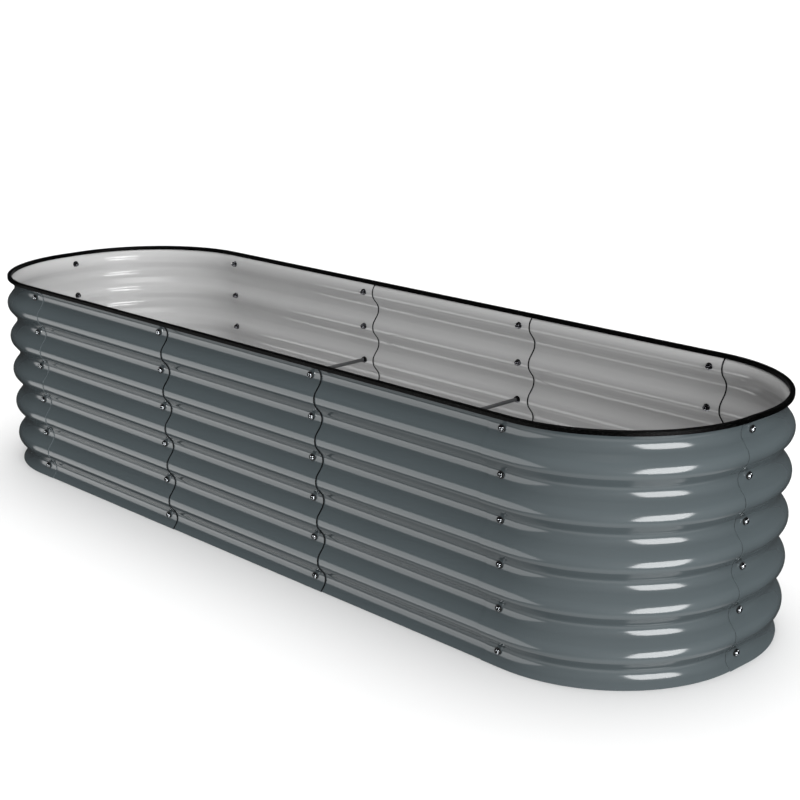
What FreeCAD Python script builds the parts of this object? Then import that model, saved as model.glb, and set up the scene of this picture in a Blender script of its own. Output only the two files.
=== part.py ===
"""A raised garden bed: a long round-ended ring of corrugated steel sheets, lapped and screwed together.

Ten sheets stand on edge: three straight ones along each side and four quarter rounds. At every lap six
screws run through the grooves of the ribs. A soft strip covers the top edge all the way round, and two
bars tie the long sides together. The frame has +Z up, the floor at z = 0, the length along X and the
origin in the middle of the bed. Lengths are in millimetres.
"""

import FreeCAD, Part
import math
import os
import Sketcher

doc = FreeCAD.newDocument("raised_garden_bed")
sizes = doc.addObject("Spreadsheet::Sheet", "sizes")

# ---------------------------------------------------------------- driving dimensions

DIMENSIONS = (
    ("seam_step", 457.2, "from one row of screws to the next along the long sides"),
    ("half_span", 281.5, "from the middle of the bed to the middle of the ribs' wave"),
    ("corner_lead", 21.0, "straight part of a quarter round, from its screws to where it starts to bend"),
    ("lap", 28.0, "how far a sheet runs on past its row of screws"),
    ("lap_step", 1.4, "how far the outer sheet of a lap stands out from the inner one"),
    ("sheet_gauge", 0.8, "thickness of the steel"),
    ("rib_pitch", 76.2, "from one rib to the next"),
    ("rib_depth", 18.0, "from the bottom of a groove to the top of a rib"),
    ("rib_bend", 22.5, "bend radius of ribs and grooves at mid-thickness"),
    ("rows", 6, "grooves in a sheet, each with a screw at each end"),
    ("edge_lip", 22.0, "from the lowest and the highest groove to the edge of the sheet"),
    ("hole_size", 7.6, "diameter of the screw holes in the sheets"),
    ("strip_height", 8.0, "height of the edge strip"),
    ("strip_width", 8.6, "width of the edge strip"),
    ("strip_wall", 1.1, "thickness of the strip's two lips"),
    ("strip_crown", 3.7, "thickness of the strip above the sheets"),
    ("strip_shift", 0.95, "how far the strip's middle stands out from the middle of the ribs' wave"),
    ("strip_bevel", 2.2, "bevel of the strip's upper corners"),
    ("strip_clearance", 0.3, "between the edge of the sheets and the bottom of the strip's slot"),
    ("strip_joint", 0.6, "gap where the two ends of the strip meet"),
    ("screw_size", 5.8, "diameter of the screw's shank"),
    ("screw_length", 12.0, "length of the shank"),
    ("head_size", 11.0, "diameter of the screw's head"),
    ("head_rim", 1.3, "straight edge of the head below its dome"),
    ("head_dome", 2.9, "height of the dome"),
    ("recess_length", 5.6, "length of each slot of the cross recess"),
    ("recess_width", 1.4, "width of each slot"),
    ("recess_depth", 2.4, "depth of the cross recess"),
    ("washer_size", 13.4, "diameter of the soft washer"),
    ("washer_bore", 6.2, "hole of the washer"),
    ("washer_height", 2.2, "from the bottom of the groove to the top of the washer"),
    ("nut_flange", 14.0, "diameter of the nut's flange"),
    ("nut_flange_height", 1.6, "thickness of the flange"),
    ("nut_flats", 10.0, "width of the nut across its flats"),
    ("nut_height", 5.6, "from the seat to the top of the flats"),
    ("nut_dome", 4.0, "height of the nut's dome"),
    ("nut_bore", 6.0, "bore of the nut"),
    ("nut_bore_depth", 7.9, "depth of the nut's blind bore"),
    ("seat_clearance", 0.05, "between a washer or a nut and the sheet that it sits on"),
    ("tie_row", 4, "groove of the tie bars, counted from the floor"),
    ("tie_size", 8.0, "diameter of the tie bar"),
    ("tie_bore", 6.0, "bore of the bar's two tapped ends"),
    ("tie_bore_depth", 16.0, "depth of the tapped ends"),
    ("tie_nut_size", 14.0, "diameter of the lock nut's flange"),
    ("tie_nut_barrel", 11.4, "diameter of the lock nut's barrel"),
    ("tie_nut_height", 5.5, "length of the lock nut along the bar"),
    ("tie_nut_gap", 0.1, "between the bar and its lock nut"),
)
for line, (alias, value, meaning) in enumerate(DIMENSIONS, 1):
    sizes.set(f"A{line}", meaning)
    sizes.set(f"B{line}", str(value))
    sizes.setAlias(f"B{line}", alias)
doc.recompute()

# Lengths that several pieces share, as expressions of the sheet's cells. Distances "out" are measured
# from the middle of the ribs' wave, away from the inside of the bed.
SHEET_HEIGHT = "((sizes.rows - 1) * sizes.rib_pitch + 2 * sizes.edge_lip)"
ARC_REACH = "(sizes.half_span - sizes.corner_lead)"
END_REACH = "(1.5 * sizes.seam_step + sizes.half_span)"
HALF_LAP_STEP = "(sizes.lap_step / 2)"
HALF_GAUGE = "(sizes.sheet_gauge / 2)"
SCREW_SEAT = f"(-sizes.rib_depth / 2 + {HALF_LAP_STEP} + {HALF_GAUGE} + sizes.seat_clearance)"
HEAD_SEAT = f"({SCREW_SEAT} + sizes.washer_height)"
NUT_SEAT = f"(-sizes.rib_depth / 2 - {HALF_LAP_STEP} - {HALF_GAUGE} - sizes.seat_clearance)"
TIE_HEIGHT = "(sizes.edge_lip + (sizes.tie_row - 1) * sizes.rib_pitch)"


def number(expression):
    """The value of an expression, as a plain number."""
    value = sizes.evalExpression(expression)
    return float(getattr(value, "Value", value))


# ---------------------------------------------------------------- bodies, sketches and features


def new_body(label):
    body = doc.addObject("PartDesign::Body", label)
    body.Label = label
    return body


def origin_part(body, role):
    return next(part for part in body.Origin.OriginFeatures if part.Role == role)


def new_sketch(body, name, plane, lift=None):
    """A sketch on one of the body's own planes, or lifted off it by an expression."""
    sketch = body.newObject("Sketcher::SketchObject", name)
    sketch.AttachmentSupport = [(origin_part(body, plane), "")]
    sketch.MapMode = "FlatFace"
    if lift:
        sketch.setExpression(".AttachmentOffset.Base.z", lift)
    return sketch


def constrain(sketch, kind, *places, size=None):
    """Adds a constraint. One with a size starts at its value and stays bound to the expression."""
    if size is None:
        return sketch.addConstraint(Sketcher.Constraint(kind, *places))
    index = sketch.addConstraint(Sketcher.Constraint(kind, *places, number(size)))
    sketch.setExpression(f"Constraints[{index}]", size)
    return index


START, END, CENTRE = 1, 2, 3
SKETCH_ORIGIN = (-1, 1)
Z_NORMAL = FreeCAD.Vector(0, 0, 1)


def point(across, up):
    return FreeCAD.Vector(across, up, 0)


def add_line(sketch, first, second):
    return sketch.addGeometry(Part.LineSegment(point(*first), point(*second)))


def add_circle(sketch, centre, radius):
    return sketch.addGeometry(Part.Circle(point(*centre), Z_NORMAL, radius))


def add_arc(sketch, centre, radius, start_angle, end_angle):
    circle = Part.Circle(point(*centre), Z_NORMAL, radius)
    return sketch.addGeometry(Part.ArcOfCircle(circle, start_angle, end_angle))


def add_outline(sketch, corners):
    """A closed outline of straight lines. Each corner is a pair of expressions, across and up."""
    values = [(number(across), number(up)) for across, up in corners]
    lines = [add_line(sketch, values[i - 1], values[i]) for i in range(len(values))]
    for i, line in enumerate(lines):
        constrain(sketch, "Coincident", line, END, lines[(i + 1) % len(lines)], START)
    for line, (across, up) in zip(lines, corners):
        constrain(sketch, "DistanceX", *SKETCH_ORIGIN, line, END, size=across)
        constrain(sketch, "DistanceY", *SKETCH_ORIGIN, line, END, size=up)
    return lines


def add_round(sketch, across, up, diameter):
    """A circle placed and sized by expressions."""
    circle = add_circle(sketch, (number(across), number(up)), number(diameter) / 2)
    constrain(sketch, "DistanceX", *SKETCH_ORIGIN, circle, CENTRE, size=across)
    constrain(sketch, "DistanceY", *SKETCH_ORIGIN, circle, CENTRE, size=up)
    constrain(sketch, "Diameter", circle, size=diameter)
    return circle


def pad(body, name, sketch, length, both_ways=False, backwards=False):
    feature = body.newObject("PartDesign::Pad", name)
    feature.Profile = sketch
    feature.SideType = "Symmetric" if both_ways else "One side"
    feature.Reversed = backwards
    feature.setExpression("Length", length)
    return feature


def cut_through(body, name, sketch):
    """Cuts the sketch's outlines right through the body, both ways."""
    feature = body.newObject("PartDesign::Pocket", name)
    feature.Profile = sketch
    feature.SideType = "Symmetric"
    feature.Type = "ThroughAll"
    return feature


def revolve(body, name, sketch, axis, angle=360):
    feature = body.newObject("PartDesign::Revolution", name)
    feature.Profile = sketch
    feature.ReferenceAxis = (sketch, [axis])
    feature.Angle = angle
    return feature


def repeat_up(body, name, sketch, features):
    """Repeats features upwards at the ribs' pitch, once for each groove."""
    pattern = body.newObject("PartDesign::LinearPattern", name)
    pattern.Originals = features
    pattern.Direction = (sketch, ["V_Axis"])
    pattern.Mode = "Spacing"
    pattern.setExpression("Offset", "sizes.rib_pitch")
    pattern.setExpression("Occurrences", "sizes.rows")
    body.Tip = pattern
    return pattern


def place(body, across, along, angle):
    """Stands a piece on the floor at (across, along), turned about the upright by angle degrees."""
    body.Placement = FreeCAD.Placement(FreeCAD.Vector(0, 0, 0), FreeCAD.Rotation(Z_NORMAL, angle))
    body.setExpression("Placement.Base.x", across)
    body.setExpression("Placement.Base.y", along)


# ---------------------------------------------------------------- corrugated sheets


def rib_sketch(body, name, plane, reach):
    """The outline of one wave of the sheet, from the top of one rib to the next, round the lowest groove.

    Ribs and grooves are arcs and the flanks between them are straight and tangent to both. reach is how
    far the middle of the wave is from the body's upright axis.
    """
    sketch = new_sketch(body, name, plane)
    bend = number("sizes.rib_bend")
    half_pitch = number("sizes.rib_pitch / 2")
    offset = number("2 * sizes.rib_bend - sizes.rib_depth")
    slope = math.asin(2 * bend / math.hypot(offset, half_pitch)) - math.atan2(offset, half_pitch)
    groove = (number(f"{reach} - sizes.rib_depth / 2 + sizes.rib_bend"), number("sizes.edge_lip"))
    ribs = [(groove[0] - offset, groove[1] + way * half_pitch) for way in (-1, 1)]

    def tangent_point(centre, radius, angle):
        return centre[0] + radius * math.cos(angle), centre[1] + radius * math.sin(angle)

    faces = []
    for side in (1, -1):
        growth = side * number(HALF_GAUGE)
        rib_radius = bend + growth
        groove_radius = bend - growth
        lower = add_arc(sketch, ribs[0], rib_radius, 0, slope)
        lower_flank = add_line(sketch, tangent_point(ribs[0], rib_radius, slope),
                               tangent_point(groove, groove_radius, math.pi + slope))
        valley = add_arc(sketch, groove, groove_radius, math.pi - slope, math.pi + slope)
        upper_flank = add_line(sketch, tangent_point(groove, groove_radius, math.pi - slope),
                               tangent_point(ribs[1], rib_radius, -slope))
        upper = add_arc(sketch, ribs[1], rib_radius, -slope, 0)
        constrain(sketch, "Tangent", lower, END, lower_flank, START)
        constrain(sketch, "Tangent", lower_flank, END, valley, END)
        constrain(sketch, "Tangent", valley, START, upper_flank, START)
        constrain(sketch, "Tangent", upper_flank, END, upper, START)
        constrain(sketch, "Horizontal", lower, START, lower, CENTRE)
        constrain(sketch, "Horizontal", upper, END, upper, CENTRE)
        sign = "+" if side > 0 else "-"
        anti = "-" if side > 0 else "+"
        constrain(sketch, "Radius", lower, size=f"sizes.rib_bend {sign} {HALF_GAUGE}")
        constrain(sketch, "Radius", upper, size=f"sizes.rib_bend {sign} {HALF_GAUGE}")
        constrain(sketch, "Radius", valley, size=f"sizes.rib_bend {anti} {HALF_GAUGE}")
        faces.append((lower, valley, upper, rib_radius))

    (lower, valley, upper, rib_radius), (inner_lower, inner_valley, inner_upper, inner_radius) = faces
    for outer_arc, inner_arc in ((lower, inner_lower), (valley, inner_valley), (upper, inner_upper)):
        constrain(sketch, "Coincident", inner_arc, CENTRE, outer_arc, CENTRE)
    for outer_arc, inner_arc, centre, tip in ((lower, inner_lower, ribs[0], START),
                                              (upper, inner_upper, ribs[1], END)):
        edge = add_line(sketch, tangent_point(centre, inner_radius, 0), tangent_point(centre, rib_radius, 0))
        constrain(sketch, "Coincident", edge, START, inner_arc, tip)
        constrain(sketch, "Coincident", edge, END, outer_arc, tip)
    constrain(sketch, "DistanceX", *SKETCH_ORIGIN, valley, CENTRE,
              size=f"{reach} - sizes.rib_depth / 2 + sizes.rib_bend")
    constrain(sketch, "DistanceY", *SKETCH_ORIGIN, valley, CENTRE, size="sizes.edge_lip")
    rib_to_groove = "2 * sizes.rib_bend - sizes.rib_depth"
    for rib, low, high in ((lower, lower, valley), (upper, valley, upper)):
        constrain(sketch, "DistanceX", rib, CENTRE, valley, CENTRE, size=rib_to_groove)
        constrain(sketch, "DistanceY", low, CENTRE, high, CENTRE, size="sizes.rib_pitch / 2")
    return sketch


def trim_to_height(body):
    """Cuts the stack of waves off level at the floor and at the sheet's top edge."""
    sketch = new_sketch(body, "edge_cuts", "XZ_Plane")
    for low, high in (("-sizes.rib_pitch", "0"), (SHEET_HEIGHT, f"{SHEET_HEIGHT} + sizes.rib_pitch")):
        add_outline(sketch, (("-sizes.seam_step", low), ("sizes.seam_step", low),
                             ("sizes.seam_step", high), ("-sizes.seam_step", high)))
    cut_through(body, "edges", sketch)


def straight_sheet(label):
    """A flat run of ribs from seam to seam with a lap at each end. Out is local +X, its length is local Y."""
    body = new_body(label)
    wave = rib_sketch(body, "wave", "XZ_Plane", "0")
    run = pad(body, "run", wave, "sizes.seam_step + 2 * sizes.lap", both_ways=True)
    repeat_up(body, "ribs", wave, [run])
    trim_to_height(body)
    holes = new_sketch(body, "hole_marks", "YZ_Plane")
    for way in ("-", ""):
        add_round(holes, f"{way}sizes.seam_step / 2", "sizes.edge_lip", "sizes.hole_size")
    drilled = cut_through(body, "holes", holes)
    repeat_up(body, "hole_rows", wave, [drilled])
    return body


def quarter_sheet(label):
    """A quarter round of ribs with a straight lead at each end, bent about its own upright axis.

    One end faces local +X and its lead runs on towards -Y. The other faces +Y and runs towards -X.
    """
    body = new_body(label)
    wave = rib_sketch(body, "wave", "XZ_Plane", ARC_REACH)
    far_wave = rib_sketch(body, "far_wave", "YZ_Plane", ARC_REACH)
    bend = revolve(body, "bend", wave, "V_Axis", 90)
    lead = pad(body, "lead", wave, "sizes.corner_lead + sizes.lap")
    far_lead = pad(body, "far_lead", far_wave, "sizes.corner_lead + sizes.lap", backwards=True)
    repeat_up(body, "ribs", wave, [bend, lead, far_lead])
    trim_to_height(body)
    drilled = []
    for name, plane in (("lead_holes", "YZ_Plane"), ("far_lead_holes", "XZ_Plane")):
        mark = new_sketch(body, f"{name}_mark", plane)
        add_round(mark, "-sizes.corner_lead", "sizes.edge_lip", "sizes.hole_size")
        drilled.append(cut_through(body, name, mark))
    repeat_up(body, "hole_rows", wave, drilled)
    return body


# Along each side every sheet laps over the next one: its far end stands out by half a lap step and its
# near end in by as much, so it stands at a slight angle. The last sheet of a side lies inside both laps.
LAP_TILT = math.degrees(math.atan2(number("sizes.lap_step"), number("sizes.seam_step")))
MIDDLE_SHEETS = (-1, 0, 1)
sheets = []
for index, column in enumerate(MIDDLE_SHEETS, 1):
    inside_both = column == MIDDLE_SHEETS[-1]
    tilt = 0 if inside_both else -LAP_TILT
    inset = HALF_LAP_STEP if inside_both else "0"
    front_sheet = straight_sheet(f"front_panel_{index}")
    place(front_sheet, f"{column} * sizes.seam_step", f"-sizes.half_span + {inset}", -90 + tilt)
    back_sheet = straight_sheet(f"back_panel_{index}")
    place(back_sheet, f"{-column} * sizes.seam_step", f"sizes.half_span - {inset}", 90 + tilt)
    sheets += [front_sheet, back_sheet]

# Each quarter round keeps its shape and shifts by half a lap step, in or out, at each of its two seams.
QUARTERS = (
    ("corner_panel_back_right", 1, 1, 1, 0),
    ("corner_panel_back_left", -1, 1, -1, 90),
    ("corner_panel_front_left", -1, -1, 1, 180),
    ("corner_panel_front_right", 1, -1, -1, -90),
)
for label, end, side, end_shift, turn in QUARTERS:
    quarter = quarter_sheet(label)
    place(quarter,
          f"{end} * (1.5 * sizes.seam_step + sizes.corner_lead) + {end_shift} * {HALF_LAP_STEP}",
          f"{side} * (sizes.corner_lead + {HALF_LAP_STEP})", turn)
    sheets.append(quarter)

# ---------------------------------------------------------------- edge strip


def edge_strip(label):
    """The U-shaped soft strip over the top edge. Its two ends meet at the middle of the left end."""
    body = new_body(label)
    low = f"({SHEET_HEIGHT} - sizes.strip_height + sizes.strip_crown + sizes.strip_clearance)"
    path = new_sketch(body, "route", "XY_Plane", low)
    reach = number(END_REACH)
    half = number("sizes.half_span")
    radius = number(ARC_REACH)
    bend_x = reach - radius
    bend_y = half - radius
    gap = number("sizes.strip_joint / 2")
    quarter_turn = math.pi / 2
    edges = [
        add_line(path, (-reach, -gap), (-reach, -bend_y)),
        add_arc(path, (-bend_x, -bend_y), radius, 2 * quarter_turn, 3 * quarter_turn),
        add_line(path, (-bend_x, -half), (bend_x, -half)),
        add_arc(path, (bend_x, -bend_y), radius, 3 * quarter_turn, 4 * quarter_turn),
        add_line(path, (reach, -bend_y), (reach, bend_y)),
        add_arc(path, (bend_x, bend_y), radius, 0, quarter_turn),
        add_line(path, (bend_x, half), (-bend_x, half)),
        add_arc(path, (-bend_x, bend_y), radius, quarter_turn, 2 * quarter_turn),
        add_line(path, (-reach, bend_y), (-reach, gap)),
    ]
    for first, second in zip(edges, edges[1:]):
        constrain(path, "Tangent", first, END, second, START)
    for arc in edges[1::2]:
        constrain(path, "Radius", arc, size=ARC_REACH)
    constrain(path, "Vertical", edges[0])
    constrain(path, "DistanceX", edges[0], START, *SKETCH_ORIGIN, size=END_REACH)
    constrain(path, "DistanceY", edges[0], START, *SKETCH_ORIGIN, size="sizes.strip_joint / 2")
    constrain(path, "DistanceY", *SKETCH_ORIGIN, edges[-1], END, size="sizes.strip_joint / 2")
    constrain(path, "DistanceX", edges[-1], END, *SKETCH_ORIGIN, size=END_REACH)
    constrain(path, "DistanceX", *SKETCH_ORIGIN, edges[4], START, size=END_REACH)
    constrain(path, "DistanceY", edges[2], START, *SKETCH_ORIGIN, size="sizes.half_span")
    constrain(path, "DistanceY", *SKETCH_ORIGIN, edges[6], START, size="sizes.half_span")

    outer = f"(-{END_REACH} - sizes.strip_shift - sizes.strip_width / 2)"
    inner = f"(-{END_REACH} - sizes.strip_shift + sizes.strip_width / 2)"
    section = new_sketch(body, "section", "XZ_Plane", "sizes.strip_joint / 2")
    slot_top = f"({low} + sizes.strip_height - sizes.strip_crown)"
    top = f"({low} + sizes.strip_height)"
    corners = (
        (outer, low),
        (f"{outer} + sizes.strip_wall", low),
        (f"{outer} + sizes.strip_wall", slot_top),
        (f"{inner} - sizes.strip_wall", slot_top),
        (f"{inner} - sizes.strip_wall", low),
        (inner, low),
        (inner, f"{top} - sizes.strip_bevel"),
        (f"{inner} - sizes.strip_bevel", top),
        (f"{outer} + sizes.strip_bevel", top),
        (outer, f"{top} - sizes.strip_bevel"),
    )
    add_outline(section, corners)
    sweep = body.newObject("PartDesign::AdditivePipe", "strip")
    sweep.Profile = section
    sweep.Spine = (path, [f"Edge{count}" for count in range(1, len(edges) + 1)])
    return body


strip = edge_strip("edge_strip")
place(strip, "0", "0", 0)

# ---------------------------------------------------------------- screws, washers and nuts
# Each group is drawn for a wall that faces local +X, with the lowest fastener of the row, and repeated up.


def screw_row(label):
    """Six dome-headed machine screws with a cross recess, standing out of the grooves."""
    body = new_body(label)
    sketch = new_sketch(body, "half_section", "XZ_Plane")
    centre_line = "sizes.edge_lip"
    tip = f"({HEAD_SEAT} - sizes.screw_length)"
    rim = f"({HEAD_SEAT} + sizes.head_rim)"
    crown = f"({rim} + sizes.head_dome)"
    shank_side = f"{centre_line} + sizes.screw_size / 2"
    head_side = f"{centre_line} + sizes.head_size / 2"
    stations = ((tip, centre_line), (tip, shank_side), (HEAD_SEAT, shank_side),
                (HEAD_SEAT, head_side), (rim, head_side))
    values = [(number(across), number(up)) for across, up in stations]
    dome_radius = number("((sizes.head_size / 2) ^ 2 + sizes.head_dome ^ 2) / (2 * sizes.head_dome)")
    crown_point = (number(crown), number(centre_line))
    lines = [add_line(sketch, first, second) for first, second in zip(values, values[1:])]
    dome_centre = (crown_point[0] - dome_radius, crown_point[1])
    rim_angle = math.atan2(values[-1][1] - dome_centre[1], values[-1][0] - dome_centre[0])
    dome = add_arc(sketch, dome_centre, dome_radius, 0, rim_angle)
    axis = add_line(sketch, crown_point, values[0])
    for first, second in zip(lines, lines[1:]):
        constrain(sketch, "Coincident", first, END, second, START)
    constrain(sketch, "Coincident", lines[-1], END, dome, END)
    constrain(sketch, "Coincident", dome, START, axis, START)
    constrain(sketch, "Coincident", axis, END, lines[0], START)
    for line, (across, up) in zip(lines, stations):
        constrain(sketch, "DistanceX", *SKETCH_ORIGIN, line, START, size=across)
        constrain(sketch, "DistanceY", *SKETCH_ORIGIN, line, START, size=up)
    constrain(sketch, "DistanceX", *SKETCH_ORIGIN, lines[-1], END, size=rim)
    constrain(sketch, "DistanceY", *SKETCH_ORIGIN, lines[-1], END, size=head_side)
    constrain(sketch, "DistanceX", *SKETCH_ORIGIN, dome, START, size=crown)
    constrain(sketch, "Horizontal", axis)
    constrain(sketch, "Horizontal", dome, CENTRE, dome, START)
    turned = revolve(body, "turned", sketch, f"Edge{axis + 1}")

    recess = new_sketch(body, "cross", "YZ_Plane", crown)
    long = "sizes.recess_length / 2"
    short = "sizes.recess_width / 2"
    cross = (
        (short, short), (short, long), (f"-{short}", long), (f"-{short}", short),
        (f"-{long}", short), (f"-{long}", f"-{short}"), (f"-{short}", f"-{short}"), (f"-{short}", f"-{long}"),
        (short, f"-{long}"), (short, f"-{short}"), (long, f"-{short}"), (long, short),
    )
    add_outline(recess, [(across, f"{centre_line} + {up}") for across, up in cross])
    socket = body.newObject("PartDesign::Pocket", "recess")
    socket.Profile = recess
    socket.setExpression("Length", "sizes.recess_depth")
    repeat_up(body, "row", sketch, [turned, socket])
    return body


def washer_row(label):
    """Six soft washers, flat under the screw heads and squeezed into the curve of the groove behind."""
    body = new_body(label)
    ring = new_sketch(body, "ring", "YZ_Plane", f"{HEAD_SEAT} - 2 * sizes.washer_height")
    add_round(ring, "0", "sizes.edge_lip", "sizes.washer_size")
    add_round(ring, "0", "sizes.edge_lip", "sizes.washer_bore")
    disc = pad(body, "disc", ring, "2 * sizes.washer_height")
    groove = new_sketch(body, "groove", "XZ_Plane")
    groove_radius = f"(sizes.rib_bend - {HALF_GAUGE})"
    axis = (number(f"{SCREW_SEAT} + {groove_radius}"), number("sizes.edge_lip"))
    radius = number(groove_radius)
    spread = number("sizes.washer_size")
    opening = math.asin(spread / radius)
    below = axis[0] - radius - number("2 * sizes.washer_height")
    upper = (axis[0] - radius * math.cos(opening), axis[1] + spread)
    lower = (upper[0], axis[1] - spread)
    hollow = add_arc(groove, axis, radius, math.pi - opening, math.pi + opening)
    lines = [add_line(groove, lower, (below, lower[1])),
             add_line(groove, (below, lower[1]), (below, upper[1])),
             add_line(groove, (below, upper[1]), upper)]
    constrain(groove, "Coincident", hollow, END, lines[0], START)
    constrain(groove, "Coincident", lines[0], END, lines[1], START)
    constrain(groove, "Coincident", lines[1], END, lines[2], START)
    constrain(groove, "Coincident", lines[2], END, hollow, START)
    constrain(groove, "Horizontal", lines[0])
    constrain(groove, "Vertical", lines[1])
    constrain(groove, "Horizontal", lines[2])
    constrain(groove, "Radius", hollow, size=groove_radius)
    constrain(groove, "DistanceX", *SKETCH_ORIGIN, hollow, CENTRE, size=f"{SCREW_SEAT} + {groove_radius}")
    constrain(groove, "DistanceY", *SKETCH_ORIGIN, hollow, CENTRE, size="sizes.edge_lip")
    constrain(groove, "DistanceY", hollow, CENTRE, lines[1], END, size="sizes.washer_size")
    constrain(groove, "DistanceY", lines[1], START, hollow, CENTRE, size="sizes.washer_size")
    constrain(groove, "DistanceX", *SKETCH_ORIGIN, lines[1], START,
              size=f"{SCREW_SEAT} - 2 * sizes.washer_height")
    squeeze = cut_through(body, "squeeze", groove)
    repeat_up(body, "row", groove, [disc, squeeze])
    return body


def nut_row(label, skip_tie=False):
    """Domed nuts with a round flange against the inside of the sheets, one for each screw.

    Where a tie bar takes the screw of one groove, that groove has no nut.
    """
    body = new_body(label)
    flats = new_sketch(body, "flats", "YZ_Plane", NUT_SEAT)
    centre_line = "sizes.edge_lip"
    apothem = "sizes.nut_flats / 2"
    corner = "sizes.nut_flats / 2 / cos(30)"
    half_side = "sizes.nut_flats / 2 * tan(30)"
    six_corners = (
        (apothem, half_side), ("0", corner), (f"-{apothem}", half_side),
        (f"-{apothem}", f"-{half_side}"), ("0", f"-({corner})"), (apothem, f"-{half_side}"),
    )
    add_outline(flats, [(across, f"{centre_line} + {up}") for across, up in six_corners])
    add_round(flats, "0", centre_line, "sizes.nut_bore")
    hexagon = pad(body, "hexagon", flats, "sizes.nut_height", backwards=True)
    section = new_sketch(body, "half_section", "XZ_Plane")
    bore = f"{centre_line} + sizes.nut_bore / 2"
    dome_start = f"({NUT_SEAT} - sizes.nut_height)"
    dome_top = f"({dome_start} - sizes.nut_dome)"
    bore_end = f"({NUT_SEAT} - sizes.nut_bore_depth)"
    barrel = f"{centre_line} + sizes.nut_flats / 2"
    stations = (
        (bore_end, centre_line),
        (bore_end, bore),
        (NUT_SEAT, bore),
        (NUT_SEAT, f"{centre_line} + sizes.nut_flange / 2"),
        (f"{NUT_SEAT} - sizes.nut_flange_height", f"{centre_line} + sizes.nut_flange / 2"),
        (f"{NUT_SEAT} - sizes.nut_flange_height", barrel),
        (dome_start, barrel),
    )
    values = [(number(across), number(up)) for across, up in stations]
    lines = [add_line(section, first, second) for first, second in zip(values, values[1:])]
    dome_radius = number("((sizes.nut_flats / 2) ^ 2 + sizes.nut_dome ^ 2) / (2 * sizes.nut_dome)")
    dome_centre = (number(dome_top) + dome_radius, number(centre_line))
    rim_angle = math.atan2(values[-1][1] - dome_centre[1], values[-1][0] - dome_centre[0])
    dome = add_arc(section, dome_centre, dome_radius, rim_angle, math.pi)
    axis = add_line(section, (number(dome_top), number(centre_line)), values[0])
    for first, second in zip(lines, lines[1:]):
        constrain(section, "Coincident", first, END, second, START)
    constrain(section, "Coincident", lines[-1], END, dome, START)
    constrain(section, "Coincident", dome, END, axis, START)
    constrain(section, "Coincident", axis, END, lines[0], START)
    for line, (across, up) in zip(lines, stations):
        constrain(section, "DistanceX", *SKETCH_ORIGIN, line, START, size=across)
        constrain(section, "DistanceY", *SKETCH_ORIGIN, line, START, size=up)
    constrain(section, "DistanceX", *SKETCH_ORIGIN, lines[-1], END, size=dome_start)
    constrain(section, "DistanceY", *SKETCH_ORIGIN, lines[-1], END, size=barrel)
    constrain(section, "DistanceX", *SKETCH_ORIGIN, dome, END, size=dome_top)
    constrain(section, "Horizontal", axis)
    constrain(section, "Horizontal", dome, CENTRE, dome, END)
    turned = revolve(body, "flange_and_dome", section, f"Edge{axis + 1}")
    row = repeat_up(body, "row", flats, [hexagon, turned])
    if skip_tie:
        row.setExpression("Occurrences", "sizes.rows - 1")
        steps = [-1.0] * (int(number("sizes.rows")) - 2)
        steps[int(number("sizes.tie_row")) - 2] = 2 * number("sizes.rib_pitch")
        row.Spacings = steps
    return body


# The seams, with the way each one faces. The tie bars join the inner seams of the two long sides.
SIDE_SEAMS = ((1, -1.5), (2, -0.5), (3, 0.5), (4, 1.5))
TIED_SEAMS = (2, 3)
SEAMS = [("right_seam", END_REACH, "0", 0, False), ("left_seam", f"-{END_REACH}", "0", 180, False)]
for count, column in SIDE_SEAMS:
    tied = count in TIED_SEAMS
    SEAMS.append((f"front_seam_{count}", f"{column} * sizes.seam_step", "-sizes.half_span", -90, tied))
    SEAMS.append((f"back_seam_{count}", f"{column} * sizes.seam_step", "sizes.half_span", 90, tied))

fasteners = []
for seam, across, along, turn, tied in SEAMS:
    rows = (screw_row(f"screws_{seam}"), washer_row(f"washers_{seam}"), nut_row(f"nuts_{seam}", tied))
    for row in rows:
        place(row, across, along, turn)
        fasteners.append(row)

# ---------------------------------------------------------------- tie bars


def tie_bar(label, column):
    """A round bar from wall to wall, tapped at both ends for the screws of its two seams."""
    length = f"(2 * (sizes.half_span + {NUT_SEAT}))"
    rod = doc.addObject("Part::Cylinder", f"{label}_rod")
    rod.setExpression("Radius", "sizes.tie_size / 2")
    rod.setExpression("Height", length)
    holes = []
    for end in ("near", "far"):
        hole = doc.addObject("Part::Cylinder", f"{label}_{end}_hole")
        hole.setExpression("Radius", "sizes.tie_bore / 2")
        hole.setExpression("Height", "sizes.tie_bore_depth")
        holes.append(hole)
    holes[1].setExpression("Placement.Base.z", f"{length} - sizes.tie_bore_depth")
    both = doc.addObject("Part::MultiFuse", f"{label}_holes")
    both.Shapes = holes
    bar = doc.addObject("Part::Cut", label)
    bar.Label = label
    bar.Base = rod
    bar.Tool = both
    bar.Placement = FreeCAD.Placement(FreeCAD.Vector(0, 0, 0), FreeCAD.Rotation(FreeCAD.Vector(1, 0, 0), 90))
    bar.setExpression("Placement.Base.x", f"{column} * sizes.seam_step")
    bar.setExpression("Placement.Base.y", f"{length} / 2")
    bar.setExpression("Placement.Base.z", TIE_HEIGHT)
    return bar


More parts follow.
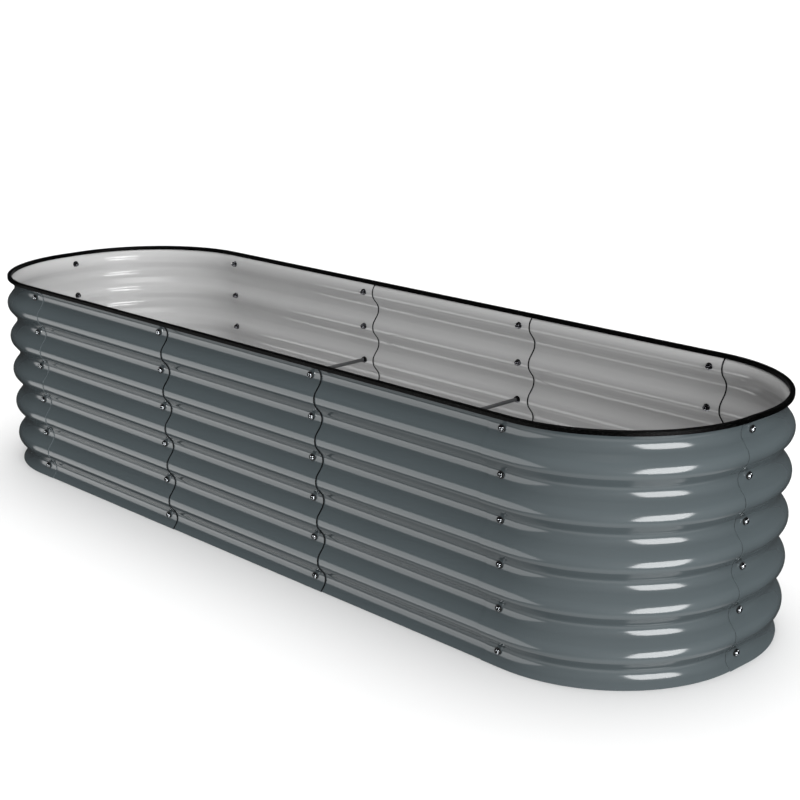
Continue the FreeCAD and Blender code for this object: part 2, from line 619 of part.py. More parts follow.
def tie_nuts(label, column):
    """The two flanged lock nuts at the ends of a tie bar, seated on the inside of the long walls."""
    body = new_body(label)
    section = new_sketch(body, "half_section", "XZ_Plane")
    wall = f"(sizes.half_span + {NUT_SEAT})"
    bore = "sizes.tie_size / 2 + sizes.tie_nut_gap"
    flange_end = f"{wall} - sizes.nut_flange_height"
    barrel_end = f"{wall} - sizes.tie_nut_height"
    add_outline(section, (
        (barrel_end, bore),
        (wall, bore),
        (wall, "sizes.tie_nut_size / 2"),
        (flange_end, "sizes.tie_nut_size / 2"),
        (flange_end, "sizes.tie_nut_barrel / 2"),
        (barrel_end, "sizes.tie_nut_barrel / 2"),
    ))
    turned = revolve(body, "turned", section, "H_Axis")
    pair = body.newObject("PartDesign::Mirrored", "pair")
    pair.Originals = [turned]
    pair.MirrorPlane = (section, ["V_Axis"])
    body.Tip = pair
    place(body, f"{column} * sizes.seam_step", "0", 90)
    body.setExpression("Placement.Base.z", TIE_HEIGHT)
    return body


ties = []
for count, column in SIDE_SEAMS:
    if count in TIED_SEAMS:
        ties.append(tie_bar(f"tie_bar_{count - 1}", column))
        ties.append(tie_nuts(f"tie_bar_{count - 1}_nuts", column))

# ---------------------------------------------------------------- checks and files

doc.recompute()
faults = [item.Label for item in doc.Objects if set(item.State) & {"Invalid", "Error"}]
if faults:
    raise RuntimeError(f"these objects failed: {faults}")

os.makedirs("parts", exist_ok=True)
for piece in sheets + [strip] + fasteners + ties:
    shape = piece.Shape
    if shape.isNull() or not shape.isValid():
        raise RuntimeError(f"{piece.Label} has no valid shape")
    box = shape.BoundBox
    print(f"{piece.Label}: {len(shape.Solids)} solids, {shape.Volume:.0f} mm3, "
          f"x {box.XMin:.1f} {box.XMax:.1f} y {box.YMin:.1f} {box.YMax:.1f} z {box.ZMin:.1f} {box.ZMax:.1f}")
    shape.exportStep(f"parts/{piece.Label}.step")
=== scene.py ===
import math

import bmesh
import bpy
from mathutils import Matrix, Vector


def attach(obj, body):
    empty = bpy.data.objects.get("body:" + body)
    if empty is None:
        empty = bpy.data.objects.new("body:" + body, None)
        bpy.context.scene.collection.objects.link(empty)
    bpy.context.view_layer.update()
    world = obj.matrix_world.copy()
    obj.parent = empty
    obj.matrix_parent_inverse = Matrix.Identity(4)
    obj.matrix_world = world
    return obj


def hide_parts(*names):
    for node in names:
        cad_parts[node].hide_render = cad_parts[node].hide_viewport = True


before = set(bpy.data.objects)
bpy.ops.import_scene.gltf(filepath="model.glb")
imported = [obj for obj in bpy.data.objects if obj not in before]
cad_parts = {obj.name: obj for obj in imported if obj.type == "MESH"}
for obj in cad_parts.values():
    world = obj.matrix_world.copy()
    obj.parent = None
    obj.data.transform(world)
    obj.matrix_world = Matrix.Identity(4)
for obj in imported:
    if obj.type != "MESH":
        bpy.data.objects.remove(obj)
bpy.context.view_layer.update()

# ---------------------------------------------------------------- straight sheets
# Six sheets of galvanised steel, roll-formed with six grooves, slate powder coat outside and a grey satin
# coat inside. Each one laps over the next and is drilled for a row of six screws at each end.

MM = 0.001
WELD = 0.01 * MM
RIB_PITCH = 76.2 * MM
RIB_DEPTH = 18 * MM
RIB_BEND = 22.5 * MM
EDGE_LIP = 22 * MM
SHEET_GAUGE = 0.8 * MM
SEAM_STEP = 457.2 * MM
HALF_SPAN = 281.5 * MM
LAP = 28 * MM
LAP_STEP = 1.4 * MM
# Width of the strip by a lapped end that is painted near-black as the shade of the gap under the next sheet.
DARK_EDGE_STRIP = 2.6 * MM
HOLE_RADIUS = 3.8 * MM
HOLE_STEPS = 16
ROWS = 6
BEND_STEPS = 8
SHEET_TOP = 2 * EDGE_LIP + (ROWS - 1) * RIB_PITCH
SHARP_ANGLE = math.radians(40)
EDGE_SLOT = 2

# A flank is the straight run between two bends: its slope from upright and how far it rises.
RIB_TO_GROOVE = 2 * RIB_BEND - RIB_DEPTH
FLANK_SLOPE = (math.asin(2 * RIB_BEND / math.hypot(RIB_TO_GROOVE, RIB_PITCH / 2))
               - math.atan2(RIB_TO_GROOVE, RIB_PITCH / 2))
FLANK_RISE = RIB_PITCH / 2 - 2 * RIB_BEND * math.sin(FLANK_SLOPE)

# The patch that a hole is cut from takes two steps of the bend each way. The mesh is cut across beside a
# seam at the sheet's end, at the strip there that is painted near-black as shade of the lap gap, and on both
# sides of the holes.
HOLE_PATCH = RIB_BEND * math.sin(FLANK_SLOPE * 2 / BEND_STEPS)
SEAM_CUTS = (-LAP, DARK_EDGE_STRIP - LAP, -HOLE_PATCH, HOLE_PATCH)


def linear(hex_colour):
    """The linear colour of an sRGB hex value such as "#5b666a"."""
    channels = [int(hex_colour[i:i + 2], 16) / 255 for i in (1, 3, 5)]
    return [c / 12.92 if c <= 0.04045 else ((c + 0.055) / 1.055) ** 2.4 for c in channels] + [1.0]


def add_node(tree, kind, settings=None, **inputs):
    """Adds a node with its settings. Inputs name sockets, or count them as in _0; each is set or linked."""
    node = tree.nodes.new(kind)
    for name, value in (settings or {}).items():
        setattr(node, name, value)
    for name, value in inputs.items():
        socket = node.inputs[int(name[1:])] if name[0] == "_" else node.inputs[name.replace("_", " ")]
        if isinstance(value, bpy.types.NodeSocket):
            tree.links.new(value, socket)
        else:
            socket.default_value = value
    return node


def new_material(name):
    """A material with nothing in it yet, and its node tree."""
    material = bpy.data.materials.new(name)
    material.use_nodes = True
    material.node_tree.nodes.clear()
    return material, material.node_tree


# Orange peel on baked powder is about 1 mm from crest to crest. It is drawn at 2.2 mm, so that it shows as a
# slight unrest in the reflections. Clouds of a hair's difference in tone stand for the coat's thickness.
PEEL_PITCH = 2.2 * MM
PEEL_HEIGHT = 0.02 * MM
CLOUD_WIDTH = 180 * MM


def sheet_finish(name, shade, cloud_shade, roughness, peel, ior=1.5):
    """A coat on the sheets: a tone that drifts a little between two shades, a gloss and a faint ripple."""
    material, tree = new_material(name)
    place = add_node(tree, "ShaderNodeTexCoord").outputs["Object"]
    cloud = add_node(tree, "ShaderNodeTexNoise", Vector=place, Scale=1 / CLOUD_WIDTH, Detail=3.0)
    tone = add_node(tree, "ShaderNodeMix", {"data_type": "RGBA"}, Factor=cloud.outputs["Fac"],
                    A=linear(shade), B=linear(cloud_shade))
    ripple = add_node(tree, "ShaderNodeTexNoise", Vector=place, Scale=1 / PEEL_PITCH, Detail=1.0)
    bump = add_node(tree, "ShaderNodeBump", Strength=peel, Distance=PEEL_HEIGHT, Height=ripple.outputs["Fac"])
    shader = add_node(tree, "ShaderNodeBsdfPrincipled", Base_Color=tone.outputs["Result"],
                      Roughness=roughness, IOR=ior, Normal=bump.outputs["Normal"])
    add_node(tree, "ShaderNodeOutputMaterial", Surface=shader.outputs["BSDF"])
    return material


# The outside is slate polyester powder, sprayed and baked: glossy enough to draw the lights as long bands.
slate_coat = sheet_finish("slate_powder_coat", "#4c5457", "#50585b", 0.12, 0.25)
# The inside has a thin pale back coat, which the light fills evenly and the softboxes only brush.
inner_coat = sheet_finish("grey_satin_back_coat", "#a6a6a6", "#acacac", 0.1, 0.25)
# A straight sheet is sheared after it is coated, so its end is dull, dark bare steel. The same near-black
# finish is painted on a strip of the face by each lapped end as the shade of the gap under the next sheet,
# and together they read as a fine black line.
sheared_edge_and_gap_shade = sheet_finish("sheared_steel_and_painted_gap_shade", "#0a0b0c", "#101112", 0.6, 0.1, ior=1.15)
# On a quarter-round sheet the powder runs thin over the edge, and the edge is painted a shade lighter and
# duller
# than the face beside it: painted light that lifts the shade of the lap gap into a faint light line.
edge_lightened_against_gap_shade = sheet_finish("thin_coat_edge_lightened_for_gap_shade", "#5f676a", "#666e71", 0.3, 0.1)


def verts_in(geometry):
    return [piece for piece in geometry if isinstance(piece, bmesh.types.BMVert)]


def edges_in(geometry):
    return [piece for piece in geometry if isinstance(piece, bmesh.types.BMEdge)]


def draw_wave(bm, reach):
    """Draws the middle line of the sheet's section upwards, arc by arc, and trims it at foot and top."""
    rib_top = reach + RIB_DEPTH / 2
    pen = bmesh.ops.create_vert(bm, co=(rib_top, 0, EDGE_LIP - RIB_PITCH / 2))["vert"]

    def bend(side, start, stop):
        centre = pen[0].co - side * RIB_BEND * Vector((math.cos(start), 0, math.sin(start)))
        return verts_in(bmesh.ops.spin(bm, geom=pen, cent=centre, axis=(0, -1, 0), angle=stop - start,
                                       steps=BEND_STEPS)["geom_last"])

    def flank(side):
        drawn = bmesh.ops.extrude_vert_indiv(bm, verts=pen)["verts"]
        bmesh.ops.translate(bm, verts=drawn, vec=(side * FLANK_RISE * math.tan(FLANK_SLOPE), 0, FLANK_RISE))
        return drawn

    for _ in range(ROWS):
        pen = bend(1, 0, FLANK_SLOPE)
        pen = flank(-1)
        pen = bend(-1, FLANK_SLOPE, 0)
        pen = bend(-1, 0, -FLANK_SLOPE)
        pen = flank(1)
        pen = bend(1, -FLANK_SLOPE, 0)
    for height, is_foot in ((0, True), (SHEET_TOP, False)):
        bmesh.ops.bisect_plane(bm, geom=bm.verts[:] + bm.edges[:], plane_co=(0, 0, height),
                               plane_no=(0, 0, 1), clear_inner=is_foot, clear_outer=not is_foot)
    return bm.edges[:]


def run_along(bm, edges, step):
    """Carries the section on in a straight line by one step."""
    carried = bmesh.ops.extrude_edge_only(bm, edges=edges)["geom"]
    bmesh.ops.translate(bm, verts=verts_in(carried), vec=step)
    return edges_in(carried)


def punch_holes(bm, centre, across, out):
    """Opens a round hole at each groove: the square patch there is deleted and a ring is bridged in."""
    across, out = Vector(across), Vector(out)
    facing = out.to_track_quat("Z", "Y").to_matrix().to_4x4()
    for row in range(ROWS):
        middle = Vector(centre) + Vector((0, 0, EDGE_LIP + row * RIB_PITCH))
        patch = []
        for face in bm.faces:
            away = face.calc_center_median() - middle
            if max(abs(away.dot(across)), abs(away.z)) < HOLE_PATCH and abs(away.dot(out)) < RIB_DEPTH:
                patch.append(face)
        border = {edge for face in patch for edge in face.edges
                  if sum(linked in patch for linked in edge.link_faces) == 1}
        bmesh.ops.delete(bm, geom=patch, context="FACES")
        ring = bmesh.ops.create_circle(bm, segments=HOLE_STEPS, radius=HOLE_RADIUS,
                                       matrix=Matrix.Translation(middle) @ facing)["verts"]
        for vert in ring:
            vert.co += out * (RIB_BEND - math.sqrt(RIB_BEND ** 2 - (vert.co.z - middle.z) ** 2))
        hole = {edge for vert in ring for edge in vert.link_edges}
        bmesh.ops.bridge_loops(bm, edges=list(border | hole))


def mesh_object(name, bm, materials):
    """Turns a bmesh into an object at the origin."""
    mesh = bpy.data.meshes.new(name)
    bm.to_mesh(mesh)
    bm.free()
    for material in materials:
        mesh.materials.append(material)
    piece = bpy.data.objects.new(name, mesh)
    bpy.context.scene.collection.objects.link(piece)
    return piece


def apply_modifiers(piece):
    """Swaps the piece's mesh for the one that its modifiers make of it."""
    made = bpy.data.meshes.new_from_object(piece.evaluated_get(bpy.context.evaluated_depsgraph_get()))
    piece.modifiers.clear()
    drawn = piece.data
    piece.data = made
    bpy.data.meshes.remove(drawn)
    made.name = piece.name


def hand_in(piece, node):
    """Smooth shading between sharp edges, then the piece takes its CAD node's place."""
    piece.data.shade_smooth()
    piece.data.set_sharp_from_angle(angle=SHARP_ANGLE)
    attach(piece, "root")
    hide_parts(node)


def finish_sheet(node, bm, edge_finish, place):
    """Gives the sheet its thickness, stands it in its place and swaps it for its CAD node."""
    bmesh.ops.remove_doubles(bm, verts=bm.verts, dist=WELD)
    bmesh.ops.recalc_face_normals(bm, faces=bm.faces)
    if sum(face.normal.x * face.calc_area() for face in bm.faces) < 0:
        bmesh.ops.reverse_faces(bm, faces=bm.faces)
    bmesh.ops.transform(bm, matrix=place, verts=bm.verts)
    sheet = mesh_object(f"{node}_coated", bm, (slate_coat, inner_coat, edge_finish))
    wall = sheet.modifiers.new("gauge", "SOLIDIFY")
    wall.thickness = SHEET_GAUGE
    wall.offset = 0
    wall.use_even_offset = True
    wall.material_offset = 1
    wall.material_offset_rim = EDGE_SLOT
    apply_modifiers(sheet)
    hand_in(sheet, node)


def turned_place(x, y, angle):
    return Matrix.Translation((x, y, 0)) @ Matrix.Rotation(angle, 4, "Z")


def straight_sheet(node, x, y, angle, laps_over):
    """Local +X is out and the sheet runs along local Y; laps_over says that its far end covers the next."""
    bm = bmesh.new()
    edges = draw_wave(bm, 0)
    half = SEAM_STEP / 2
    stations = [cut - half for cut in SEAM_CUTS] + [0] + [half - cut for cut in reversed(SEAM_CUTS)]
    bmesh.ops.translate(bm, verts=bm.verts, vec=(0, stations[0], 0))
    for start, stop in zip(stations, stations[1:]):
        edges = run_along(bm, edges, (0, stop - start, 0))
    for seam in (-half, half):
        punch_holes(bm, (-RIB_DEPTH / 2, seam, 0), (0, 1, 0), (1, 0, 0))
    # The strip of the face by a lapped end takes the near-black edge finish: painted shade of the lap gap.
    dark_strip_from = half + LAP - DARK_EDGE_STRIP
    for face in bm.faces:
        along = face.calc_center_median().y
        if along < -dark_strip_from or laps_over and along > dark_strip_from:
            face.material_index = EDGE_SLOT
    finish_sheet(node, bm, sheared_edge_and_gap_shade, turned_place(x, y, angle))


# Each sheet leans by one lap step, so that its far end lies over the next one. The last of a side stands
# straight and a little inwards, because it lies under the quarter-round sheets at both its ends.
LAP_TILT = math.atan2(LAP_STEP, SEAM_STEP)
for count, column in enumerate((-1, 0, 1), 1):
    last = count == 3
    x = column * SEAM_STEP
    y = HALF_SPAN - (LAP_STEP / 2 if last else 0)
    tilt = 0 if last else -LAP_TILT
    straight_sheet(f"front_panel_{count}", x, -y, -math.pi / 2 + tilt, not last)
    straight_sheet(f"back_panel_{count}", -x, y, math.pi / 2 + tilt, not last)

# ---------------------------------------------------------------- quarter-round sheets
# The same ribbed steel, curved to a quarter round with a short straight lead at each end for the lap. Four of
# them, screwed to the straight sheets and to each other, close the two ends of the ring.

CORNER_LEAD = 21 * MM
ARC_REACH = HALF_SPAN - CORNER_LEAD
END_REACH = 1.5 * SEAM_STEP + HALF_SPAN
ARC_STEPS = 48


def quarter_sheet(node, end, side, end_shift, angle):
    """Starts past the seam that local +X faces, runs to the bend, round it and on to the other seam."""
    bm = bmesh.new()
    edges = draw_wave(bm, ARC_REACH)
    lead = [cut - CORNER_LEAD for cut in SEAM_CUTS] + [0]
    bmesh.ops.translate(bm, verts=bm.verts, vec=(0, lead[0], 0))
    for start, stop in zip(lead, lead[1:]):
        edges = run_along(bm, edges, (0, stop - start, 0))
    edges = edges_in(bmesh.ops.spin(bm, geom=edges, cent=(0, 0, 0), axis=(0, 0, 1), angle=math.pi / 2,
                                    steps=ARC_STEPS)["geom_last"])
    for stop, start in zip(lead[-2::-1], lead[::-1]):
        edges = run_along(bm, edges, (stop - start, 0, 0))
    groove = ARC_REACH - RIB_DEPTH / 2
    punch_holes(bm, (groove, -CORNER_LEAD, 0), (0, 1, 0), (1, 0, 0))
    punch_holes(bm, (-CORNER_LEAD, groove, 0), (1, 0, 0), (0, 1, 0))
    # The ends take the edge finish that is painted lighter against the shade of the lap gap.
    finish_sheet(node, bm, edge_lightened_against_gap_shade,
                 turned_place(end * (1.5 * SEAM_STEP + CORNER_LEAD) + end_shift * LAP_STEP / 2,
                              side * (CORNER_LEAD + LAP_STEP / 2), angle))


quarter_sheet("corner_panel_back_right", 1, 1, 1, 0)
quarter_sheet("corner_panel_back_left", -1, 1, -1, math.pi / 2)
quarter_sheet("corner_panel_front_left", -1, -1, 1, math.pi)
quarter_sheet("corner_panel_front_right", 1, -1, -1, -math.pi / 2)

# ---------------------------------------------------------------- screws
# Sixty M6 machine screws of chromed steel, with a dome head and a pressed cross recess. Six stand in the
# grooves of each seam and hold the two lapped sheets together.

SEAT_GAP = 0.05 * MM
SCREW_SEAT = -RIB_DEPTH / 2 + LAP_STEP / 2 + SHEET_GAUGE / 2 + SEAT_GAP
WASHER_HEIGHT = 2.2 * MM
HEAD_SEAT = SCREW_SEAT + WASHER_HEIGHT
SHANK_RADIUS = 2.9 * MM
SHANK_LENGTH = 12 * MM
SHANK_CHAMFER = 0.6 * MM
HEAD_RADIUS = 5.5 * MM
HEAD_RIM = 1.3 * MM
HEAD_DOME = 2.9 * MM
HEAD_TOP = HEAD_SEAT + HEAD_RIM + HEAD_DOME
HEAD_STEPS = 12
RIM_ROUND = 0.35 * MM
RIM_MIDDLE = (0.21 * MM, 0.0875 * MM)
ROUND_STEPS = 40
RECESS_LENGTH = 5.6 * MM
RECESS_WIDTH = 1.4 * MM
RECESS_DEPTH = 2.4 * MM
RECESS_TAPER = (0.55, 0.8)

SEAMS = {"right_seam": (END_REACH, 0, 0), "left_seam": (-END_REACH, 0, math.pi)}
for count, column in enumerate((-1.5, -0.5, 0.5, 1.5), 1):
    SEAMS[f"front_seam_{count}"] = (column * SEAM_STEP, -HALF_SPAN, -math.pi / 2)
    SEAMS[f"back_seam_{count}"] = (column * SEAM_STEP, HALF_SPAN, math.pi / 2)


def trace(bm, stations):
    """Draws a line through stations (out, up) in the upright plane of local X, and returns its end."""
    pen = bmesh.ops.create_vert(bm, co=(stations[0][0], 0, stations[0][1]))["vert"]
    for out, up in stations[1:]:
        pen = bmesh.ops.extrude_vert_indiv(bm, verts=pen)["verts"]
        pen[0].co = (out, 0, up)
    return pen


def sweep_arc(bm, pen, centre, angle, steps):
    """Carries the pen round an arc in the upright plane; a positive angle turns from local X towards up."""
    return verts_in(bmesh.ops.spin(bm, geom=pen, cent=(centre[0], 0, centre[1]), axis=(0, -1, 0),
                                   angle=angle, steps=steps)["geom_last"])


def turn_round(bm):
    """Turns the drawn half section into a closed body about local X and closes its poles."""
    bmesh.ops.spin(bm, geom=bm.verts[:] + bm.edges[:], cent=(0, 0, 0), axis=(1, 0, 0), angle=2 * math.pi,
                   steps=ROUND_STEPS, use_merge=True)
    bmesh.ops.remove_doubles(bm, verts=bm.verts, dist=WELD)
    bmesh.ops.recalc_face_normals(bm, faces=bm.faces)


def fastener_row(name, single, node, seam, rows):
    """Copies one fastener into the given grooves of a seam."""
    bm = bmesh.new()
    bm.from_mesh(single.data)
    first = bm.verts[:] + bm.edges[:] + bm.faces[:]
    for row in rows[1:]:
        copied = bmesh.ops.duplicate(bm, geom=first)["geom"]
        bmesh.ops.translate(bm, verts=verts_in(copied), vec=(0, 0, EDGE_LIP + row * RIB_PITCH))
    bmesh.ops.translate(bm, verts=verts_in(first), vec=(0, 0, EDGE_LIP + rows[0] * RIB_PITCH))
    bmesh.ops.transform(bm, matrix=turned_place(*SEAMS[seam]), verts=bm.verts)
    hand_in(mesh_object(name, bm, single.data.materials), node)


# Bright chrome plate over polished steel: a sharp mirror of the dark room, with the lamps as white glints.
chrome, tree = new_material("bright_chrome_plate")
shader = add_node(tree, "ShaderNodeBsdfPrincipled", Base_Color=linear("#525456"), Metallic=1.0,
                  Roughness=0.0)
add_node(tree, "ShaderNodeOutputMaterial", Surface=shader.outputs["BSDF"])

bm = bmesh.new()
dome_radius = (HEAD_RADIUS ** 2 + HEAD_DOME ** 2) / (2 * HEAD_DOME)
dome_centre = HEAD_TOP - dome_radius
rim_angle = math.asin((HEAD_RADIUS - RIM_ROUND) / dome_radius)
rim_top = dome_centre + dome_radius * math.cos(rim_angle)
shank_tip = HEAD_SEAT - SHANK_LENGTH
pen = trace(bm, [(shank_tip, 0), (shank_tip, SHANK_RADIUS - SHANK_CHAMFER),
                 (shank_tip + SHANK_CHAMFER, SHANK_RADIUS), (HEAD_SEAT, SHANK_RADIUS),
                 (HEAD_SEAT, HEAD_RADIUS - RIM_ROUND), (HEAD_SEAT + RIM_ROUND, HEAD_RADIUS),
                 (rim_top - 2 * RIM_ROUND, HEAD_RADIUS),
                 (rim_top - RIM_MIDDLE[0], HEAD_RADIUS - RIM_MIDDLE[1]),
                 (rim_top, HEAD_RADIUS - RIM_ROUND)])
sweep_arc(bm, pen, (dome_centre, 0), -rim_angle, HEAD_STEPS)
turn_round(bm)
screw = mesh_object("screw_pattern", bm, [chrome])

# Two crossed blades, narrower at the bottom, press the recess into the head.
cutters = []
long_taper, short_taper = RECESS_TAPER
for size, taper in (((RECESS_LENGTH, RECESS_WIDTH), (long_taper, short_taper)),
                    ((RECESS_WIDTH, RECESS_LENGTH), (short_taper, long_taper))):
    bm = bmesh.new()
    bmesh.ops.create_cube(bm, size=1)
    bmesh.ops.scale(bm, verts=bm.verts, vec=(2 * RECESS_DEPTH, *size))
    bmesh.ops.scale(bm, verts=[v for v in bm.verts if v.co.x < 0], vec=(1, *taper))
    bmesh.ops.translate(bm, verts=bm.verts, vec=(HEAD_TOP, 0, 0))
    cutter = mesh_object("recess_cutter", bm, [chrome])
    cutters.append(cutter)
    recess = screw.modifiers.new("recess", "BOOLEAN")
    recess.operation = "DIFFERENCE"
    recess.solver = "EXACT"
    recess.object = cutter
apply_modifiers(screw)
for cutter in cutters:
    bpy.data.objects.remove(cutter)
for seam in SEAMS:
    fastener_row(f"chromed_screws_{seam}", screw, f"screws_{seam}", seam, range(ROWS))
bpy.data.objects.remove(screw)

# ---------------------------------------------------------------- washers
# Washers of moulded rubber under the screw heads, flat on top and squeezed by the screws into the curve of
# the groove.

WASHER_RADIUS = 6.7 * MM
WASHER_BORE = 3.1 * MM
WASHER_ROUND = 0.5 * MM
WASHER_STEPS = 3
CORNER_STEPS = 4
GROOVE_RADIUS = RIB_BEND - SHEET_GAUGE / 2
RUBBER_GRAIN = 0.6 * MM
RUBBER_GRAIN_HEIGHT = 0.02 * MM

# Black rubber from a matt mould: a dull dark ring that sets each bright head off from the coat.
washer_rubber, tree = new_material("black_moulded_rubber")
place = add_node(tree, "ShaderNodeTexCoord").outputs["Object"]
grain = add_node(tree, "ShaderNodeTexNoise", Vector=place, Scale=1 / RUBBER_GRAIN, Detail=2.0)
bump = add_node(tree, "ShaderNodeBump", Strength=0.2, Distance=RUBBER_GRAIN_HEIGHT,
                Height=grain.outputs["Fac"])
shader = add_node(tree, "ShaderNodeBsdfPrincipled", Base_Color=linear("#0e1011"), Roughness=0.55,
                  Normal=bump.outputs["Normal"])
add_node(tree, "ShaderNodeOutputMaterial", Surface=shader.outputs["BSDF"])

bm = bmesh.new()
step = (WASHER_RADIUS - WASHER_BORE - WASHER_ROUND) / WASHER_STEPS
under = [(SCREW_SEAT, WASHER_BORE + count * step) for count in range(WASHER_STEPS + 1)]
shoulder = HEAD_SEAT - WASHER_ROUND
pen = trace(bm, [(HEAD_SEAT, WASHER_RADIUS - WASHER_ROUND), (HEAD_SEAT, WASHER_BORE)] + under
            + [(SCREW_SEAT, WASHER_RADIUS), (shoulder, WASHER_RADIUS)])
sweep_arc(bm, pen, (shoulder, WASHER_RADIUS - WASHER_ROUND), -math.pi / 2, CORNER_STEPS)
turn_round(bm)
for vert in bm.verts:
    if vert.co.x < SCREW_SEAT + WELD:
        vert.co.x += GROOVE_RADIUS - math.sqrt(GROOVE_RADIUS ** 2 - vert.co.z ** 2)
washer = mesh_object("washer_pattern", bm, [washer_rubber])
for seam in SEAMS:
    fastener_row(f"rubber_washers_{seam}", washer, f"washers_{seam}", seam, range(ROWS))
bpy.data.objects.remove(washer)

# ---------------------------------------------------------------- nuts
# Domed steel nuts with a round flange, plated in black nickel, one on each screw inside the bed. Where a tie
# bar takes the screw of the fourth groove there is none.

NUT_SEAT = -RIB_DEPTH / 2 - LAP_STEP / 2 - SHEET_GAUGE / 2 - SEAT_GAP
NUT_FLANGE = 7 * MM
NUT_APOTHEM = 5 * MM
NUT_HEIGHT = 5.6 * MM
NUT_DOME = 4 * MM
NUT_BORE = 3 * MM
NUT_BORE_DEPTH = 7.9 * MM
NUT_STEPS = 48
DOME_STEPS = 8
TIE_ROW = 3
TIED_SEAMS = ("front_seam_2", "front_seam_3", "back_seam_2", "back_seam_3")

# Height over the seat and radius of the flange's edge, its rounded shoulder, the hexagon's foot and top,
# and the ring where the dome starts. The last column says which rings are six-sided.
NUT_RINGS = ((0.8 * MM, NUT_FLANGE, False), (1.28 * MM, 6.6 * MM, False), (1.92 * MM, NUT_APOTHEM, True),
             (5.1 * MM, NUT_APOTHEM, True), (NUT_HEIGHT, NUT_APOTHEM, False))

# Bright black nickel: a dark mirror, nearly black against the pale inside, with a white edge of light.
black_nickel, tree = new_material("bright_black_nickel")
shader = add_node(tree, "ShaderNodeBsdfPrincipled", Base_Color=linear("#262628"), Metallic=1.0,
                  Roughness=0.0)
add_node(tree, "ShaderNodeOutputMaterial", Surface=shader.outputs["BSDF"])


def ring_at(bm, face, out, radius, hexagonal=False):
    """Extrudes the end face into a new ring at a distance out, round or six-sided, and returns its cap."""
    grown = bmesh.ops.extrude_discrete_faces(bm, faces=[face])["faces"][0]
    for vert in grown.verts:
        angle = math.atan2(vert.co.z, vert.co.y)
        from_flat = (angle + math.pi / 6) % (math.pi / 3) - math.pi / 6
        reach = radius / math.cos(from_flat) if hexagonal else radius
        vert.co = (out, reach * math.cos(angle), reach * math.sin(angle))
    return grown


bm = bmesh.new()
facing_in = Matrix.Rotation(-math.pi / 2, 4, "Y")
bmesh.ops.create_circle(bm, cap_ends=True, segments=NUT_STEPS, radius=NUT_FLANGE,
                        matrix=Matrix.Translation((NUT_SEAT, 0, 0)) @ facing_in)
cap = bm.faces[:][0]
bore = bmesh.ops.duplicate(bm, geom=[cap])["geom"]
for height, radius, hexagonal in NUT_RINGS:
    cap = ring_at(bm, cap, NUT_SEAT - height, radius, hexagonal)
dome_radius = (NUT_APOTHEM ** 2 + NUT_DOME ** 2) / (2 * NUT_DOME)
dome_centre = NUT_SEAT - NUT_HEIGHT - NUT_DOME + dome_radius
dome_angle = math.asin(NUT_APOTHEM / dome_radius)
for count in range(DOME_STEPS - 1, 0, -1):
    angle = dome_angle * count / DOME_STEPS
    cap = ring_at(bm, cap, dome_centre - dome_radius * math.cos(angle), dome_radius * math.sin(angle))
top = bmesh.ops.poke(bm, faces=[cap])["verts"][0]
top.co = (dome_centre - dome_radius, 0, 0)
under = next(piece for piece in bore if isinstance(piece, bmesh.types.BMFace))
mouth = ring_at(bm, under, NUT_SEAT, NUT_BORE)
ring_at(bm, mouth, NUT_SEAT - NUT_BORE_DEPTH, NUT_BORE)
bmesh.ops.remove_doubles(bm, verts=bm.verts, dist=WELD)
bmesh.ops.recalc_face_normals(bm, faces=bm.faces)
nut = mesh_object("nut_pattern", bm, [black_nickel])
for seam in SEAMS:
    rows = [row for row in range(ROWS) if seam not in TIED_SEAMS or row != TIE_ROW]
    fastener_row(f"black_nuts_{seam}", nut, f"nuts_{seam}", seam, rows)
bpy.data.objects.remove(nut)

# ---------------------------------------------------------------- tie bars
# Two round steel bars, dark grey coated and tapped at both ends, screwed between the long sides from
# outside. A flanged lock nut at each end bears on the wall.

TIE_RADIUS = 4 * MM
TIE_HALF = HALF_SPAN + NUT_SEAT
TIE_BORE = 3 * MM
TIE_BORE_DEPTH = 16 * MM
TIE_CHAMFER = 0.5 * MM
TIE_HEIGHT = EDGE_LIP + TIE_ROW * RIB_PITCH
TIE_NUT_FLANGE = 7 * MM
TIE_NUT_FLANGE_HEIGHT = 1.6 * MM
TIE_NUT_EDGE = 0.25 * MM
TIE_NUT_BARREL = 5.7 * MM
TIE_NUT_LENGTH = 5.5 * MM
TIE_NUT_BORE = 4.1 * MM
TIE_NUT_ROUND = 0.5 * MM

# Dark grey paint on drawn bar: soft light along its top and nothing sharp, so it sinks into the inside.
bar_coat, tree = new_material("dark_grey_coated_bar")
shader = add_node(tree, "ShaderNodeBsdfPrincipled", Base_Color=linear("#3a3b3c"), Roughness=0.35)
add_node(tree, "ShaderNodeOutputMaterial", Surface=shader.outputs["BSDF"])

